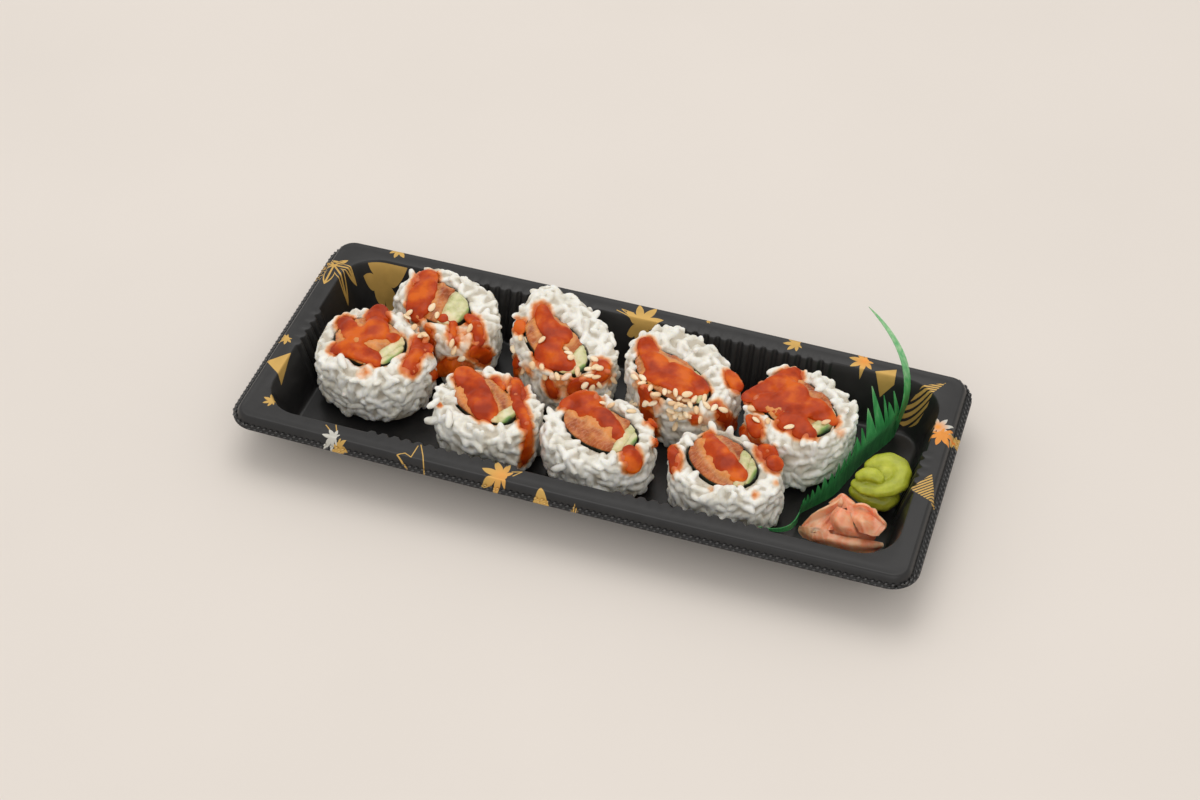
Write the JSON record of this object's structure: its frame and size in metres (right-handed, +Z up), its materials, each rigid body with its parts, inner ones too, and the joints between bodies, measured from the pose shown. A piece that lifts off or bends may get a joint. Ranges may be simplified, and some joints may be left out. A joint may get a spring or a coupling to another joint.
{
  "type": "takeaway sushi tray",
  "caption": "Black rectangular takeaway tray holding salmon and cucumber rice rolls with sauce and sesame, wasabi, pickled ginger and a green leaf divider.",
  "frame": {"origin": "middle of the flat underside of the tray, under the centre of its rim", "axes": "+X along the tray's length towards the wasabi and ginger, +Y across it towards the back row of rolls, +Z up"},
  "size_m": [0.221, 0.0936, 0.042],
  "materials": {
    "black_plastic": "satin black with fields of gold print",
    "rice": "moist, slightly glossy cooked rice",
    "seaweed": "dark green-black sheet",
    "salmon": "soft orange-red, under glossy sauce",
    "cucumber": "pale green, moist",
    "wasabi_paste": "smooth lime-green paste",
    "pickled_ginger": "moist, translucent pink",
    "green_film": "thin translucent green sheet"
  },
  "bodies": {
    "root": {"tray": "black_plastic", "rice_1": "rice", "nori_1": "seaweed", "salmon_1": "salmon", "cucumber_1": "cucumber", "cucumber_1_outer": "cucumber", "rice_2": "rice", "nori_2": "seaweed", "salmon_2": "salmon", "cucumber_2": "cucumber", "rice_3": "rice", "nori_3": "seaweed", "salmon_3": "salmon", "cucumber_3": "cucumber", "rice_4": "rice", "nori_4": "seaweed", "salmon_4": "salmon", "cucumber_4": "cucumber", "rice_5": "rice", "nori_5": "seaweed", "salmon_5": "salmon", "cucumber_5": "cucumber", "cucumber_5_outer": "cucumber", "rice_6": "rice", "nori_6": "seaweed", "salmon_6": "salmon", "cucumber_6": "cucumber", "rice_7": "rice", "nori_7": "seaweed", "salmon_7": "salmon", "cucumber_7": "cucumber", "cucumber_7_outer": "cucumber", "rice_8": "rice", "nori_8": "seaweed", "salmon_8": "salmon", "cucumber_8": "cucumber", "wasabi": "wasabi_paste", "ginger": "pickled_ginger", "leaf_divider": "green_film"}
  },
  "joints": []
}
